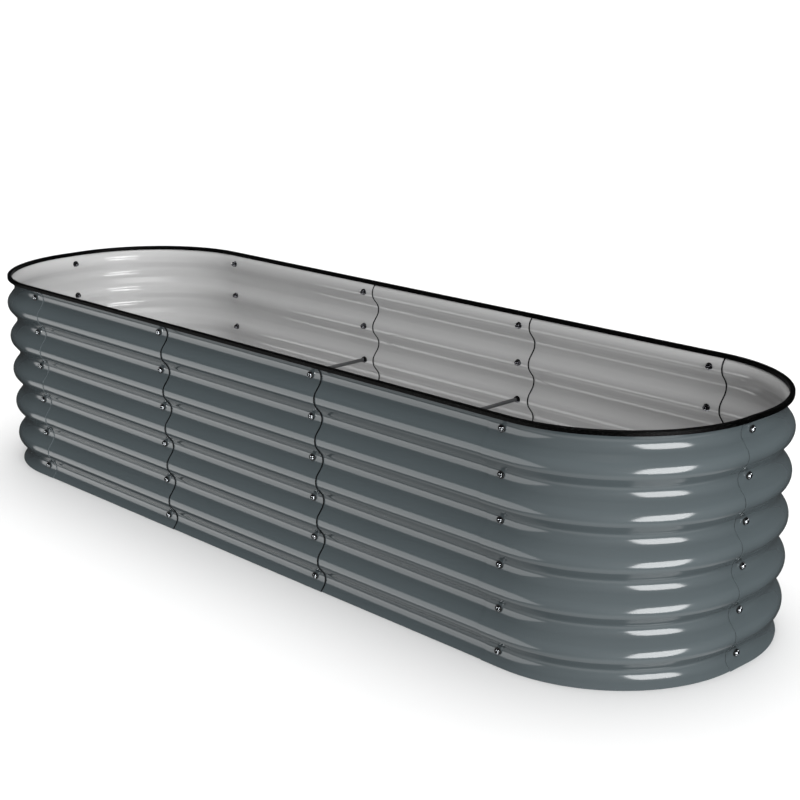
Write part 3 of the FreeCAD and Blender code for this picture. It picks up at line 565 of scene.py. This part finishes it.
flange_end = TIE_HALF - TIE_NUT_FLANGE_HEIGHT
barrel_end = TIE_HALF - TIE_NUT_LENGTH
for count, column in enumerate((-0.5, 0.5), 1):
    stand = Matrix.Translation((column * SEAM_STEP, 0, TIE_HEIGHT)) @ Matrix.Rotation(math.pi / 2, 4, "Z")
    bm = bmesh.new()
    trace(bm, [(TIE_BORE_DEPTH - TIE_HALF, 0), (TIE_BORE_DEPTH - TIE_HALF, TIE_BORE), (-TIE_HALF, TIE_BORE),
               (-TIE_HALF, TIE_RADIUS - TIE_CHAMFER), (TIE_CHAMFER - TIE_HALF, TIE_RADIUS),
               (TIE_HALF - TIE_CHAMFER, TIE_RADIUS), (TIE_HALF, TIE_RADIUS - TIE_CHAMFER),
               (TIE_HALF, TIE_BORE), (TIE_HALF - TIE_BORE_DEPTH, TIE_BORE), (TIE_HALF - TIE_BORE_DEPTH, 0)])
    turn_round(bm)
    bmesh.ops.transform(bm, matrix=stand, verts=bm.verts)
    hand_in(mesh_object(f"tie_bar_{count}_coated", bm, [bar_coat]), f"tie_bar_{count}")

    bm = bmesh.new()
    pen = trace(bm, [(barrel_end, TIE_NUT_BORE), (TIE_HALF, TIE_NUT_BORE), (TIE_HALF, TIE_NUT_FLANGE),
                     (flange_end + TIE_NUT_EDGE, TIE_NUT_FLANGE),
                     (flange_end, TIE_NUT_FLANGE - TIE_NUT_EDGE), (flange_end, TIE_NUT_BARREL),
                     (barrel_end + TIE_NUT_ROUND, TIE_NUT_BARREL)])
    pen = sweep_arc(bm, pen, (barrel_end + TIE_NUT_ROUND, TIE_NUT_BARREL - TIE_NUT_ROUND), math.pi / 2,
                    CORNER_STEPS)
    end = bmesh.ops.extrude_vert_indiv(bm, verts=pen)["verts"]
    end[0].co = (barrel_end, 0, TIE_NUT_BORE)
    turn_round(bm)
    bmesh.ops.mirror(bm, geom=bm.verts[:] + bm.edges[:] + bm.faces[:], axis="X", merge_dist=0)
    bmesh.ops.recalc_face_normals(bm, faces=bm.faces)
    bmesh.ops.transform(bm, matrix=stand, verts=bm.verts)
    nuts = mesh_object(f"tie_bar_{count}_lock_nuts", bm, [black_nickel])
    hand_in(nuts, f"tie_bar_{count}_nuts")

# ---------------------------------------------------------------- edge strip
# Soft extruded strip of black vinyl with a fine grain, pushed over the top edge all the way round. Its two
# ends meet at the middle of the left end.

STRIP_HEIGHT = 8 * MM
STRIP_WIDTH = 8.6 * MM
STRIP_WALL = 1.1 * MM
STRIP_CROWN = 3.7 * MM
STRIP_OVER_EDGE = 0.3 * MM
STRIP_SHIFT = 0.95 * MM
STRIP_BEVEL = 2.2 * MM
STRIP_BEVEL_STEPS = 6
STRIP_JOINT = 0.6 * MM
STRIP_STEPS = 48
VINYL_GRAIN = 1.3 * MM
VINYL_GRAIN_HEIGHT = 0.15 * MM

# Vinyl embossed with a leather grain: black, with scattered grey crests that sparkle along the rim. The
# real grain is well under a millimetre and is drawn at 1.3 mm, so that the crests show.
vinyl, tree = new_material("grained_black_vinyl")
place = add_node(tree, "ShaderNodeTexCoord").outputs["Object"]
grain = add_node(tree, "ShaderNodeTexNoise", Vector=place, Scale=1 / VINYL_GRAIN, Detail=2.0, Roughness=0.6)
bump = add_node(tree, "ShaderNodeBump", Strength=0.6, Distance=VINYL_GRAIN_HEIGHT,
                Height=grain.outputs["Fac"])
crests = add_node(tree, "ShaderNodeMapRange", Value=grain.outputs["Fac"], From_Min=0.62, From_Max=0.7)
tone = add_node(tree, "ShaderNodeMix", {"data_type": "RGBA"}, Factor=crests.outputs["Result"],
                A=linear("#000000"), B=linear("#303030"))
shader = add_node(tree, "ShaderNodeBsdfPrincipled", Base_Color=tone.outputs["Result"], Roughness=0.4,
                  Specular_IOR_Level=0.03, Normal=bump.outputs["Normal"])
add_node(tree, "ShaderNodeOutputMaterial", Surface=shader.outputs["BSDF"])

bm = bmesh.new()
slot_top = SHEET_TOP + STRIP_OVER_EDGE
strip_top = slot_top + STRIP_CROWN
strip_foot = strip_top - STRIP_HEIGHT
outer = -END_REACH - STRIP_SHIFT - STRIP_WIDTH / 2
inner = outer + STRIP_WIDTH
pen = trace(bm, [(outer, strip_foot), (outer + STRIP_WALL, strip_foot), (outer + STRIP_WALL, slot_top),
                 (inner - STRIP_WALL, slot_top), (inner - STRIP_WALL, strip_foot), (inner, strip_foot),
                 (inner, strip_top - STRIP_BEVEL)])
pen = sweep_arc(bm, pen, (inner - STRIP_BEVEL, strip_top - STRIP_BEVEL), math.pi / 2, STRIP_BEVEL_STEPS)
pen = bmesh.ops.extrude_vert_indiv(bm, verts=pen)["verts"]
pen[0].co = (outer + STRIP_BEVEL, 0, strip_top)
sweep_arc(bm, pen, (outer + STRIP_BEVEL, strip_top - STRIP_BEVEL), math.pi / 2, STRIP_BEVEL_STEPS)
bmesh.ops.remove_doubles(bm, verts=bm.verts, dist=WELD)
bmesh.ops.contextual_create(bm, geom=[v for v in bm.verts if len(v.link_edges) == 1])
bmesh.ops.translate(bm, verts=bm.verts, vec=(0, STRIP_JOINT / 2, 0))
section = bm.edges[:]
bend_x = END_REACH - ARC_REACH
from_joint = CORNER_LEAD - STRIP_JOINT / 2
edges = run_along(bm, section, (0, from_joint, 0))
for centre, step in (((-bend_x, CORNER_LEAD, 0), (2 * bend_x, 0, 0)),
                     ((bend_x, CORNER_LEAD, 0), (0, -2 * CORNER_LEAD, 0)),
                     ((bend_x, -CORNER_LEAD, 0), (-2 * bend_x, 0, 0)),
                     ((-bend_x, -CORNER_LEAD, 0), (0, from_joint, 0))):
    edges = edges_in(bmesh.ops.spin(bm, geom=edges, cent=centre, axis=(0, 0, -1), angle=math.pi / 2,
                                    steps=STRIP_STEPS)["geom_last"])
    edges = run_along(bm, edges, step)
bmesh.ops.contextual_create(bm, geom=section)
bmesh.ops.contextual_create(bm, geom=edges)
bmesh.ops.remove_doubles(bm, verts=bm.verts, dist=WELD)
bmesh.ops.recalc_face_normals(bm, faces=bm.faces)
hand_in(mesh_object("edge_strip_vinyl", bm, [vinyl]), "edge_strip")

# ---------------------------------------------------------------- floor
# The plain studio floor that the bed stands on, so pale that it runs into the background.

FLOOR_REACH = 30

# Matt white paper: no gloss, only the bed's soft shadow. It is hidden from the bed's own diffuse and glossy
# rays, because the world below the horizon gives the light that comes back off it.
pale_paper, tree = new_material("pale_studio_floor")
shader = add_node(tree, "ShaderNodeBsdfDiffuse", Color=linear("#e2e2e2"))
add_node(tree, "ShaderNodeOutputMaterial", Surface=shader.outputs["BSDF"])

bm = bmesh.new()
bmesh.ops.create_grid(bm, x_segments=1, y_segments=1, size=FLOOR_REACH)
floor = mesh_object("studio_floor", bm, [pale_paper])
floor.visible_glossy = False
floor.visible_diffuse = False

# ---------------------------------------------------------------- light
# The studio is drawn as the world: soft light from above and from the right front, a softbox on each side
# that the coat mirrors as bands and streaks, and small lamps for the glints on the plated fasteners.

MATH = "ShaderNodeMath"
DARK_ROOM = 0.03
LEFT_BOX_LEVEL = 2.4
RIGHT_BOX_LEVEL = 12.5
BOX_BLUR = 0.12
BOX_GAIN_ON_PLATE = 1.2
JUST_AHEAD = 0.001
LEAST_WIDTH = 0.05
LAMPS_ROUND = 6
LAMP_HEIGHT = 0.32
LAMP_ROW_RATE = 8.5
LAMP_LEVEL = 90.0
BACKDROP_LEVEL = 1.1


def way(azimuth, rise):
    """The direction at an azimuth from +X and a rise over the horizon, in degrees."""
    azimuth, rise = math.radians(azimuth), math.radians(rise)
    return (math.cos(azimuth) * math.cos(rise), math.sin(azimuth) * math.cos(rise), math.sin(rise))


def light_parts(tree, base, parts):
    """Sums light over a base; each part rises smoothly from none at one facing to its level at another."""
    total = base
    for facing, none_at, full_at, level in parts:
        part = add_node(tree, "ShaderNodeMapRange", {"interpolation_type": "SMOOTHSTEP"}, Value=facing,
                        From_Min=none_at, From_Max=full_at, To_Max=level).outputs["Result"]
        total = add_node(tree, MATH, {"operation": "ADD"}, _0=total, _1=part).outputs[0]
    return total


def softbox(tree, direction, azimuth, rise, half_width, half_height, lean, taper, corner, level):
    """The light of a softbox seen in a direction. Lean slants it, taper narrows its top and a high corner
    power makes its outline square. Angles are in degrees."""
    turned = add_node(tree, "ShaderNodeVectorRotate", {"rotation_type": "Z_AXIS"}, Vector=direction,
                      Angle=math.radians(-azimuth)).outputs["Vector"]
    tipped = add_node(tree, "ShaderNodeVectorRotate", {"rotation_type": "Y_AXIS"}, Vector=turned,
                      Angle=math.radians(rise)).outputs["Vector"]
    axes = add_node(tree, "ShaderNodeSeparateXYZ", Vector=tipped).outputs
    high = math.tan(math.radians(half_height))
    wide = math.tan(math.radians(half_width))
    ahead = add_node(tree, MATH, {"operation": "MAXIMUM"}, _0=axes["X"], _1=JUST_AHEAD).outputs[0]
    up = add_node(tree, MATH, {"operation": "DIVIDE"}, _0=axes["Z"], _1=ahead).outputs[0]
    aside = add_node(tree, MATH, {"operation": "DIVIDE"}, _0=axes["Y"], _1=ahead).outputs[0]
    across = add_node(tree, MATH, {"operation": "MULTIPLY_ADD"}, _0=up, _1=-lean, _2=aside).outputs[0]
    up_share = add_node(tree, MATH, {"operation": "DIVIDE"}, _0=up, _1=high).outputs[0]
    narrowed = add_node(tree, MATH, {"operation": "MULTIPLY_ADD"}, _0=up_share, _1=-taper, _2=1.0).outputs[0]
    kept_share = add_node(tree, MATH, {"operation": "MAXIMUM"}, _0=narrowed, _1=LEAST_WIDTH).outputs[0]
    width = add_node(tree, MATH, {"operation": "MULTIPLY"}, _0=kept_share, _1=wide).outputs[0]
    share = add_node(tree, MATH, {"operation": "DIVIDE"}, _0=across, _1=width).outputs[0]
    powers = []
    for part in (share, up_share):
        size = add_node(tree, MATH, {"operation": "ABSOLUTE"}, _0=part).outputs[0]
        powers.append(add_node(tree, MATH, {"operation": "POWER"}, _0=size, _1=corner).outputs[0])
    total = add_node(tree, MATH, {"operation": "ADD"}, _0=powers[0], _1=powers[1]).outputs[0]
    outline = add_node(tree, MATH, {"operation": "POWER"}, _0=total, _1=1 / corner).outputs[0]
    return add_node(tree, "ShaderNodeMapRange", {"interpolation_type": "SMOOTHSTEP"}, Value=outline,
                    From_Min=1 - BOX_BLUR, From_Max=1 + BOX_BLUR, To_Min=level, To_Max=0.0).outputs["Result"]


world = bpy.data.worlds.new("studio")
bpy.context.scene.world = world
world.use_nodes = True
tree = world.node_tree
tree.nodes.clear()
direction = add_node(tree, "ShaderNodeTexCoord").outputs["Generated"]
axes = add_node(tree, "ShaderNodeSeparateXYZ", Vector=direction).outputs
height = axes["Z"]
facings = []
for toward in (way(-40, 0), way(-23, -9), (-0.38, 0.66, 0.64), (0.64, -0.37, -0.67)):
    nearness = add_node(tree, "ShaderNodeVectorMath", {"operation": "DOT_PRODUCT"}, _0=direction, _1=toward)
    facings.append(nearness.outputs["Value"])
right_wall, key, back_fill, floor_bounce = facings

# What the gloss of the coats mirrors: a faint wall that brightens to the right, the ceiling, the floor's
# glow from below, and the two softboxes.
left_box = softbox(tree, direction, azimuth=-129.5, rise=-18, half_width=24, half_height=20,
                   lean=0.0, taper=0.3, corner=3.5, level=LEFT_BOX_LEVEL)
right_box = softbox(tree, direction, azimuth=-15, rise=-6, half_width=19, half_height=21,
                    lean=0.2, taper=0.0, corner=4.0, level=RIGHT_BOX_LEVEL)
boxes = add_node(tree, MATH, {"operation": "ADD"}, _0=left_box, _1=right_box).outputs[0]
room = add_node(tree, MATH, {"operation": "ADD"}, _0=boxes, _1=DARK_ROOM).outputs[0]
glow = light_parts(tree, room, ((right_wall, -0.2, 0.7, 0.32), (height, 0.84, 0.93, 4.0),
                                (height, -0.62, -0.80, 0.8)))

# What lights the coats evenly: the ceiling, the floor all round, a broad low key from the right front, a
# fill from the left back and the floor's bounce at the right front.
even = light_parts(tree, 0.09, ((height, 0.55, 0.98, 2.51), (height, -0.05, -0.5, 0.45),
                                (key, 0.6, 1.0, 7.6), (back_fill, 0.6, 1.0, 0.9),
                                (floor_bounce, 0.5, 1.0, 0.5)))

# What the plated fasteners mirror, which alone are smooth enough for singular rays: a dark room with the
# softboxes, the floor straight below, and rings of six small lamps above and below the horizon.
plate_room = add_node(tree, MATH, {"operation": "MULTIPLY_ADD"}, _0=boxes, _1=BOX_GAIN_ON_PLATE,
                      _2=DARK_ROOM).outputs[0]
azimuth = add_node(tree, MATH, {"operation": "ARCTAN2"}, _0=axes["Y"], _1=axes["X"]).outputs[0]
lamp_turns = add_node(tree, MATH, {"operation": "MULTIPLY"}, _0=azimuth, _1=LAMPS_ROUND).outputs[0]
over_ring = add_node(tree, MATH, {"operation": "SUBTRACT"}, _0=height, _1=LAMP_HEIGHT).outputs[0]
ring_turns = add_node(tree, MATH, {"operation": "MULTIPLY"}, _0=over_ring, _1=LAMP_ROW_RATE).outputs[0]
across_lamps = add_node(tree, MATH, {"operation": "COSINE"}, _0=lamp_turns).outputs[0]
up_lamps = add_node(tree, MATH, {"operation": "COSINE"}, _0=ring_turns).outputs[0]
beside = light_parts(tree, 0, ((across_lamps, 0.8, 0.93, 1),))
above = light_parts(tree, 0, ((up_lamps, 0.75, 0.92, 1),))
lamps = add_node(tree, MATH, {"operation": "MULTIPLY"}, _0=beside, _1=above).outputs[0]
mirrored = add_node(tree, MATH, {"operation": "MULTIPLY_ADD"}, _0=lamps, _1=LAMP_LEVEL,
                    _2=light_parts(tree, plate_room, ((height, -0.84, -0.92, 22.0),))).outputs[0]

# Each kind of ray takes its own picture of the studio, and the camera sees a plain backdrop, just past white.
path = add_node(tree, "ShaderNodeLightPath").outputs
glossy = add_node(tree, "ShaderNodeMix", {"data_type": "FLOAT"}, Factor=path["Is Singular Ray"], A=glow,
                  B=mirrored).outputs["Result"]
on_bed = add_node(tree, "ShaderNodeMix", {"data_type": "FLOAT"}, Factor=path["Is Glossy Ray"], A=even,
                  B=glossy).outputs["Result"]
light = add_node(tree, "ShaderNodeMix", {"data_type": "FLOAT"}, Factor=path["Is Camera Ray"], A=on_bed,
                 B=BACKDROP_LEVEL).outputs["Result"]
background = add_node(tree, "ShaderNodeBackground", Color=(1, 1, 1, 1), Strength=light)
add_node(tree, "ShaderNodeOutputWorld", Surface=background.outputs["Background"])

# ---------------------------------------------------------------- camera
# The photograph's view, fitted to the screws, the nuts and the edge strip. The lens is long and the shift
# puts the bed at its height in the frame.

CAMERA_PLACE = (2.2411, -1.9782, 1.0990)
CAMERA_AZIMUTH = math.radians(46.345)
CAMERA_ELEVATION = math.radians(19.026)
CAMERA_ROLL = math.radians(-0.263)
SENSOR = 36.0
LENS = 69.42
SHIFT = 0.110

camera = bpy.data.objects.new("camera", bpy.data.cameras.new("camera"))
bpy.context.scene.collection.objects.link(camera)
camera.data.sensor_width = SENSOR
camera.data.lens = LENS
camera.data.shift_y = SHIFT
back = Vector((math.sin(CAMERA_AZIMUTH) * math.cos(CAMERA_ELEVATION),
               -math.cos(CAMERA_AZIMUTH) * math.cos(CAMERA_ELEVATION), math.sin(CAMERA_ELEVATION)))
level = Vector((math.cos(CAMERA_AZIMUTH), math.sin(CAMERA_AZIMUTH), 0))
upright = Matrix((level, back.cross(level), back)).transposed().to_4x4()
camera.matrix_world = Matrix.Translation(CAMERA_PLACE) @ upright @ Matrix.Rotation(CAMERA_ROLL, 4, "Z")
bpy.context.scene.camera = camera
bpy.context.scene.view_settings.view_transform = "Standard"
